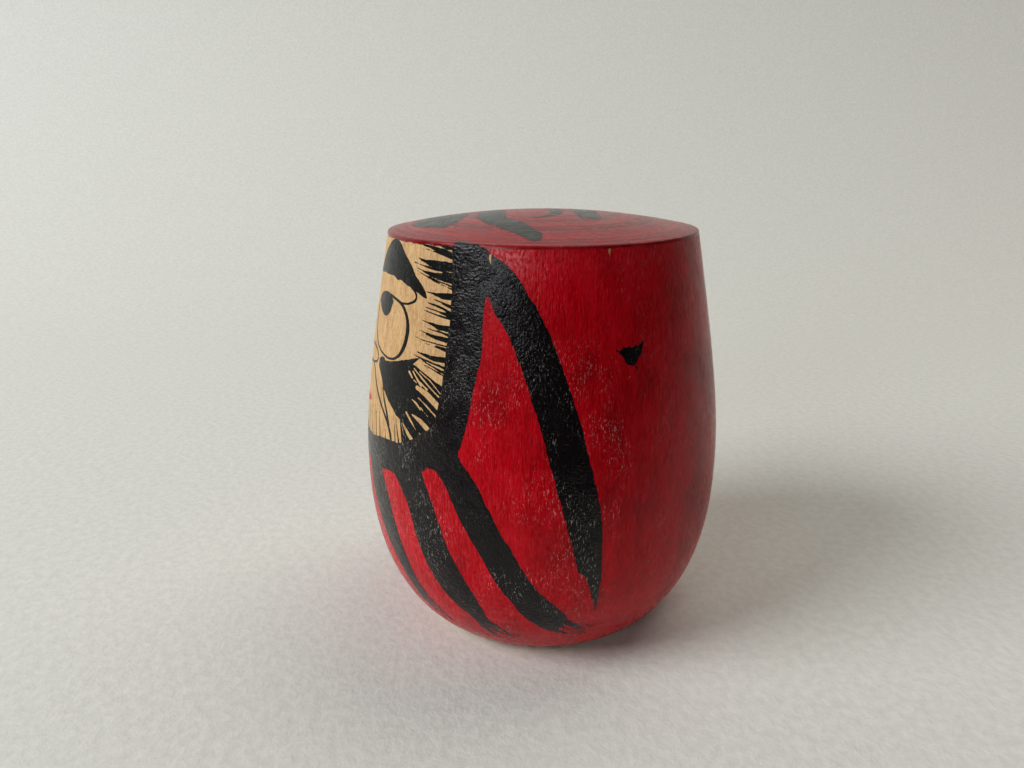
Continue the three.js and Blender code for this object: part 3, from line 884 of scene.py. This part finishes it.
def hood_and_robe_ink():
    canvas = Canvas((-56, 56), (3, RIM_HEIGHT + 2.7), 0.12)
    for strokes in (chin_band, hood_band, robe_edge, outer_fold, third_fold, second_fold, inner_fold):
        strokes(canvas)
    side_chips(canvas)
    folds = ["robe_fold_" + fold for fold in ("inner", "second", "third", "outer")]
    names = ["chin_band", *both("hood_band", "robe_edge", *folds)]
    rim = np.linspace(RIM_HEIGHT - 0.35, RIM_HEIGHT + 0.45, 9)
    over_rim = grid_points(np.arange(canvas.xs[0], canvas.xs[-1], 0.4), rim)
    film("hood_and_robe_ink", canvas, ON_RED, 0.8, ROBE_INK, names, extra=[over_rim])


def ink_blot():
    """A stray blot with a drip under it."""
    canvas = Canvas((52, 64), (49, 58), 0.08)
    blot = [
        (105.8, 54.8), (107.5, 54.7), (108.7, 55), (110.8, 54.9), (112.8, 55), (113.4, 54.7),
        (114.3, 55.2), (115.5, 55.6), (115.6, 55.1), (114.6, 54.4), (114.3, 53.7), (113, 52.9),
        (111.6, 52.3), (110.4, 52.4), (109.2, 52.8), (108.4, 53.6), (107, 54.1),
    ]
    canvas.mark(outline(1, blot), 170, rough=0.16)
    canvas.line(on_canvas([(112.4, 52.0), (112.7, 51.7)]), [0.3, 0.25], 172, rough=0.06)
    film("ink_blot_mark", canvas, ON_RED, 0.6, ROBE_INK, ["ink_blot"])


hood_and_robe_ink()
ink_blot()

# ---- The painted face ----

BROW_LIFT = ON_WOOD + 0.006
HAIR_LIFT = ON_WOOD + 0.003
FRINGE_SHAKE = (1.2, 0.15)  # how far the fringe on the right strays, in degrees and millimetres


def face_canvas():
    return Canvas((-31.5, 31.5), (35.0, 71.0), 0.075)


def brows_ink():
    """The heavy brows, like upturned wings."""
    canvas = face_canvas()
    upper = [
        (46.2, 61.1), (44.4, 62.5), (40.2, 64), (36.1, 65.8), (32, 67.1), (28.3, 68.4), (24.1, 68.9),
        (20.6, 68.6), (15.3, 67.2), (11.3, 65.6), (7.8, 64.1), (5.8, 63),
    ]
    lower = [
        (5.8, 62.8), (10.6, 62.9), (15.6, 63.2), (20.3, 63.2), (25.8, 63.3), (28.7, 62.9), (31.5, 63),
        (35.2, 62.5), (38.4, 62.2), (41, 61.8), (44.1, 61.3), (46.2, 61.1),
    ]
    canvas.strokes(200, upper, lower, rough=0.05)
    film("brows_ink", canvas, BROW_LIFT, 0.7, FACE_INK, both("brow"))


def eyes_ink():
    """A round eye line, the pupil looking inward and up, and the lid that folds over it."""
    canvas = face_canvas()
    ring = [
        (13.2, 59), (16, 59.8), (20.5, 60.3), (25.9, 60.2), (32.1, 59.7), (35.4, 58.9), (37.5, 57.6),
        (38.3, 56.3), (38.3, 55.2), (37.5, 53.6), (35.7, 52.1), (33.7, 51.3), (31.4, 50.8), (27.6, 50.6),
        (22.5, 50.9), (18.2, 51.5), (15.3, 52.5), (12.6, 54), (11.6, 55.8), (11.9, 57.6), (13.2, 59),
    ]
    ring_widths = [0.5, 0.5, 0.45, 0.7, 1.0, 0.9, 0.5, 0.34, 0.38, 0.55, 0.55, 0.5]
    lid = [
        (38.2, 62.3), (40.4, 61.7), (41.2, 61.1), (40.4, 60.4), (37.6, 59.85), (34.6, 59.65), (32.4, 59.6),
    ]
    pupil = [
        (27.6, 59.5), (26.9, 58.7), (26.1, 57.8), (24.5, 57.1), (22, 56.7), (18.3, 57), (14.7, 57.8),
        (12.6, 58.7), (13.4, 59.4), (15.5, 59.8), (20.4, 60.2), (26, 60.1),
    ]
    canvas.lines(210, ring, ring_widths)
    canvas.lines(220, lid, [0.3, 0.42, 0.45, 0.32, 0.3])
    canvas.strokes(230, pupil, rough=0.04)
    film("eyes_ink", canvas, ON_WOOD, 0.6, FACE_INK, both("eye_outline", "pupil", "eyelid_line"))


def nose_ink():
    canvas = face_canvas()
    nostril = [
        (5.5, 50.2), (8, 50.9), (12, 51), (16.5, 50.8), (19.3, 49.9), (18.3, 48.9), (15, 48.4), (11, 48),
        (5, 47.5), (0, 47.2),
    ]
    canvas.lines(240, nostril, [0.25, 0.4, 0.42, 0.36, 0.4])
    film("nose_ink", canvas, ON_WOOD, 0.6, FACE_INK, ["nose_outline"])


def lip_mark():
    canvas = Canvas((-10, 10), (39, 44), 0.08)
    upper = [(-14, 42.3), (-8, 42), (0, 41.7), (8, 42), (14, 42.3)]
    lower = [(14, 41.6), (8, 40.8), (0, 40.4), (-8, 40.8), (-14, 41.6)]
    canvas.mark(outline(1, upper, lower), 250, rough=0.08)
    film("lip_mark", canvas, ON_WOOD, 0.6, LIP_RED, ["mouth"])


def moustache(canvas):
    """The dark mass of the moustache and beard, with slits of bare wood left between its hairs."""
    top = [
        (20.8, 49.7), (23, 50.2), (25.1, 50.3), (26.6, 50), (31.1, 50.4), (36.5, 51.1), (42.1, 51.9),
        (45.2, 52.3),
    ]
    notch = [(43.4, 51.5), (42.4, 51.1), (44.1, 50.9), (47.5, 50.3), (50.7, 49.6), (54.8, 48.8)]
    back = [(58, 48.4), (57.5, 44), (56, 40), (50, 38.6), (44.3, 39)]
    front = [
        (41.4, 38.4), (39.3, 41.2), (37.6, 42.1), (35.9, 42.4), (32.9, 43.4), (30.8, 44), (28.2, 45),
        (26.5, 45.5), (24.8, 46.8), (22.5, 47.8), (20.8, 48.4),
    ]
    canvas.strokes(260, top, notch, back, front, rough=0.05)
    slits = [
        ([(45, 47.8), (48.1, 47.3), (51.2, 46.5), (54.2, 45.5)], [0.6, 0.95, 1.05, 1.0]),
        ([(43.6, 43.5), (47, 42.9), (49.5, 42.1), (52.6, 41)], [0.2, 0.75, 0.85, 0.85]),
        ([(41, 43.5), (43.1, 42.5), (45.6, 41.3)], [0.4, 0.35, 0.12]),
        ([(39.6, 41.6), (41.6, 40.6), (44.3, 39.4)], [0.2, 0.6, 0.7]),
        ([(46.9, 41), (48.7, 40.2)], [0.1, 0.25]),
        ([(45.8, 46.3), (49, 45.5), (53.4, 44)], [0.12, 0.25, 0.28]),
        ([(43.2, 45.8), (45.3, 45.3), (47, 44.6)], [0.15, 0.4, 0.3]),
        ([(47, 44.9), (50, 43.9)], [0.2, 0.1]),
        ([(43.2, 50.5), (47.8, 49.1), (53.6, 47.2)], [0.2, 0.26, 0.2]),
        ([(45.6, 50.3), (50.2, 49.2), (54.6, 47.5)], [0.1, 0.2, 0.2]),
        ([(42.8, 50), (45.4, 48.9), (49, 47.9)], [0.3, 0.2, 0.4]),
        ([(44.2, 49.2), (46.6, 48.2)], [0.14, 0.3]),
        ([(41.1, 49.8), (42.7, 49.1)], [0.5, 0.3]),
        ([(43.4, 48.8), (44.8, 48.5)], [0.2, 0.12]),
    ]
    for number, (points, widths) in enumerate(slits):
        canvas.lines(600 + number, points, widths, spread=40, rough=0.05, remove=True)


def cheek_lines(canvas):
    long_line = [
        (10, 48.4), (15.7, 47.6), (19.3, 45.6), (23.4, 43.7), (28.1, 41.8), (31.1, 40.5), (33.2, 38.8),
        (34, 37.2),
    ]
    short_line = [(26.3, 45.5), (28.1, 43.7), (30.2, 42.1), (32, 40.2)]
    canvas.lines(300, long_line, [0.3, 0.5, 0.55, 0.5, 0.6, 0.6])
    canvas.lines(310, short_line, [0.3, 0.5, 0.55, 0.6])
    beard = [
        ([(38.2, 42.2), (39.2, 40.4), (40.6, 38.2)], 0.5),
        ([(36, 41.9), (37.2, 39.8), (38.2, 37.8)], 0.2),
        ([(34.6, 42.2), (35.6, 40), (36.2, 37.8)], 0.12),
        ([(17.4, 40.4), (18.2, 38.4), (18.8, 36.2)], 0.14),
        ([(22.1, 41), (22.7, 39), (23.1, 36.6)], 0.18),
        ([(24.6, 41.4), (25.6, 39.4), (26.3, 37.2)], 0.18),
        ([(29.2, 40), (30, 38.6), (30.4, 37.4)], 0.12),
        ([(13, 41), (13.4, 39), (13.6, 36.2)], 0.16),
        ([(8, 39.8), (8.2, 38.2), (8.3, 36)], 0.2),
        ([(2.5, 39.6), (2.6, 38), (2.6, 35.8)], 0.16),
    ]
    for number, (points, width) in enumerate(beard):
        canvas.lines(320 + number, points, [0.06, width, width * 2.1], spread=20)


# Each lock of the fringe: its run from the fine tip to the root under the hood, and its widths.
FRINGE = [
    ([(39, 68.9), (44.7, 68.6), (51.2, 68.05), (56.5, 67.4)], [0.08, 0.35, 0.8, 0.8]),
    ([(46.5, 69.3), (50.8, 69), (53, 68.75), (55.3, 68.5)], [0.2, 0.7, 0.9, 0.25]),
    ([(38.6, 66), (44.4, 65.72), (49.9, 65.5), (53.1, 65.3)], [0.04, 0.2, 0.3, 0.12]),
    ([(52, 60.75), (55.1, 60.5), (57, 60.35)], [0.1, 0.5, 0.6]),
    ([(50, 59.65), (54.2, 59.3), (57, 59.1)], [0.1, 0.5, 0.6]),
    ([(51.1, 57.5), (54.2, 57.2), (57, 56.9)], [0.2, 0.5, 0.5]),
    ([(51, 56.85), (55.1, 56.4), (57, 56.15)], [0.08, 0.35, 0.45]),
    ([(49.4, 56.1), (52.6, 55.75), (57, 55.5)], [0.1, 0.5, 0.6]),
    ([(51.3, 54.6), (54, 54.3), (57, 54.1)], [0.2, 0.55, 0.5]),
    ([(43.6, 68.2), (49.7, 67.75), (56.5, 67.1)], [0.06, 0.24, 0.4]),
    ([(39.6, 66.8), (43.9, 66.4), (49.5, 66.15), (57, 65.9)], [0.06, 0.5, 1.2, 1.4]),
    ([(38.5, 66.1), (43.4, 65.75), (48.7, 65.4), (57, 65.0)], [0.04, 0.16, 0.2, 0.3]),
    ([(40.3, 65.3), (44.4, 64.9), (48.9, 64.6), (57, 64.4)], [0.05, 0.35, 0.85, 1.7]),
    ([(40.5, 64.9), (47.4, 64.1), (57, 63.2)], [0.05, 0.22, 0.26]),
    ([(45, 64.2), (50.8, 63.5), (57, 62.8)], [0.04, 0.14, 0.2]),
    ([(45.6, 62.1), (50.2, 61.95), (53, 61.8), (57, 61.9)], [0.08, 0.5, 0.9, 1.0]),
    ([(46.5, 61.4), (51.4, 61), (57, 60.5)], [0.04, 0.16, 0.24]),
    ([(46.6, 60.6), (51.5, 60.2), (57, 59.4)], [0.16, 0.32, 0.36]),
    ([(45.9, 59.9), (50.2, 59.6), (57, 59.1)], [0.05, 0.18, 0.22]),
    ([(45.4, 59.4), (51.8, 58.95), (57, 58.7)], [0.08, 0.3, 0.4]),
    ([(45, 57.9), (49.1, 57.6), (52.2, 57.3), (57.5, 57.3)], [0.08, 0.5, 0.85, 0.9]),
    ([(45.4, 57.1), (50.8, 56.7), (57.5, 56.4)], [0.05, 0.2, 0.3]),
    ([(44, 56.4), (49.4, 56.05), (57, 55.85)], [0.04, 0.14, 0.24]),
    ([(47, 56), (51.3, 55.7), (57, 55.4)], [0.1, 0.42, 0.6]),
    ([(42.6, 55.3), (46.5, 55), (50.3, 54.9), (57, 54.65)], [0.05, 0.14, 0.24, 0.28]),
    ([(46, 54.7), (51.3, 54.4), (57, 54)], [0.04, 0.14, 0.22]),
    ([(43.4, 53.2), (47, 52.9), (51, 52.7), (57, 52.75)], [0.08, 0.4, 0.75, 0.95]),
    ([(42.5, 52.6), (47.8, 52.15), (52.4, 51.8), (57, 51.3)], [0.06, 0.26, 0.34, 0.45]),
    ([(45, 52.3), (50.3, 51.5), (57, 50.6)], [0.06, 0.26, 0.5]),
    ([(46.5, 51.5), (51, 51), (57, 50.1)], [0.05, 0.12, 0.3]),
]


def side_hair(canvas):
    """The fringe combed from the hood towards the eye. On the doll's right it is varied a little."""
    chance = np.random.default_rng(6)
    for number, (run, widths) in enumerate(FRINGE):
        shake = chance.uniform(-1, 1, 2) * FRINGE_SHAKE
        canvas.line(on_canvas(run), widths, 450 + number, rough=0.06)
        canvas.line(on_canvas(run + shake, -1), widths, 350 + number, rough=0.06)


def beard_and_hair_ink():
    canvas = face_canvas()
    moustache(canvas)
    cheek_lines(canvas)
    side_hair(canvas)
    names = both("moustache", "cheek_line", "side_hair")
    film("beard_and_hair_ink", canvas, HAIR_LIFT, 0.7, FACE_INK, names)


brows_ink()
eyes_ink()
nose_ink()
lip_mark()
beard_and_hair_ink()

# ---- Brush dabs on the crown ----

DABS = [
    [(-6, -20.5), (0, -22), (6, -21), (10.5, -17), (8.5, -15), (3, -13.2), (-5, -13)],
    [
        (-5, -10.2), (2, -11), (9, -10.6), (16, -7.6), (22.6, -4.4), (23.4, -2.8), (20.6, -2.2), (14, -3.8),
        (7, -6.4), (-5, -6.4),
    ],
    [(9.4, -4.2), (7, -0.6), (2.6, 1.2), (-4, 1.2), (-4, 3.2), (3.5, 3), (8.4, 0)],
    [(9.2, 5.2), (8.8, 8.4), (1, 9), (-6, 8), (-6, 5.4), (1, 5)],
]


def crown_ink():
    """Plain dabs of ink, which stand for no letter or sign."""
    canvas = Canvas((-26, 26), (-26, 26), 0.12)
    for number, dab in enumerate(DABS):
        corners = smooth_run(dab + dab[:1], steps=6)[:-1]
        canvas.mark(corners, 500 + 10 * number, rough=0.22)
    names = ["crown_dab_" + place for place in ("front", "left", "middle", "right")]
    film("crown_ink", canvas, ON_CROWN, 0.8, CROWN_INK, names, place=on_crown)


crown_ink()

# ---- Floor, backdrop, light and camera ----

PAPER_FRONT = 0.9  # metres in front of the doll
PAPER_BACK = 0.60
PAPER_TOP = 1.2
PAPER_BEND = 0.40  # the radius of the bend between floor and backdrop
PAPER_HALF_WIDTH = 1.6
CAMERA_PLACE = (0.13246, -0.01360, 0.08295)
CAMERA_TURN = (72.633, 0.256, 86.33)
CAMERA_LENS = 27.07
SENSOR_WIDTH = 36.0


def paper_material():
    look = Look("pale_paper", (0.70, 0.70, 0.655))
    fibre = look.noise(0.55, 0.55, detail=5.0, roughness=0.65)
    look.tint(look.ramp(fibre, 0.3, 0.7), (0.78, 0.78, 0.735))
    # In front of the doll the sheet is painted dark, for a dark table and painted shade on the camera's side,
    # which the gloss of the paint mirrors.
    look.tint(look.ramp(look.forward, 54.0, 110.0), (0.08, 0.075, 0.07))
    look.bump(fibre, 0.5, 0.35)
    return look.finish(0.9, 0.2)


def paper_sweep():
    """A sheet of pale paper: a floor that curves up into a backdrop behind the doll."""
    bend_start = PAPER_BACK - PAPER_BEND
    curve = [(-PAPER_FRONT, 0.0), (bend_start, 0.0)]
    for angle in np.linspace(0, math.pi / 2, 24)[1:]:
        curve.append((bend_start + PAPER_BEND * math.sin(angle), PAPER_BEND - PAPER_BEND * math.cos(angle)))
    curve.append((PAPER_BACK, PAPER_TOP))
    count = len(curve)
    points = [(-along, across, up) for across in (-PAPER_HALF_WIDTH, PAPER_HALF_WIDTH) for along, up in curve]
    faces = [[i, i + 1, i + 1 + count, i + count] for i in range(count - 1)]
    smooth_object("paper_sweep", points, faces, paper_material())


def soft_light(name, place, target, size, power, colour):
    light = bpy.data.lights.new(name, "AREA")
    light.shape = "DISK"
    light.size = size
    light.energy = power
    light.color = colour
    turn = (Vector(target) - Vector(place)).to_track_quat("-Z", "Y").to_matrix().to_4x4()
    in_scene(name, light).matrix_world = Matrix.Translation(place) @ turn


def sky(strength, colour):
    world = bpy.data.worlds.new("pale_room")
    world.use_nodes = True
    background = world.node_tree.nodes["Background"]
    background.inputs["Color"].default_value = (*colour, 1.0)
    background.inputs["Strength"].default_value = strength
    SCENE.world = world


def camera():
    lens = bpy.data.cameras.new("camera")
    lens.sensor_width = SENSOR_WIDTH
    lens.lens = CAMERA_LENS
    lens.clip_start = 0.01
    holder = in_scene("camera", lens)
    holder.location = CAMERA_PLACE
    holder.rotation_euler = [math.radians(angle) for angle in CAMERA_TURN]
    SCENE.camera = holder


paper_sweep()
sky(strength=0.03, colour=(1, 0.95, 0.9))
soft_light("window", (0.42, -1.24, 0.95), (0, 0, 0.03), size=0.9, power=20, colour=(0.97, 0.99, 1))
soft_light("low_window", (1.22, -0.98, 0.46), (0, 0, 0.05), size=0.46, power=4.2, colour=(0.9, 0.95, 1))
soft_light("overhead", (-0.58, 0.58, 1.18), (-0.3, 0.25, 0), size=1.2, power=9.4, colour=(1, 0.93, 0.84))
camera()
SCENE.view_settings.view_transform = "Standard"
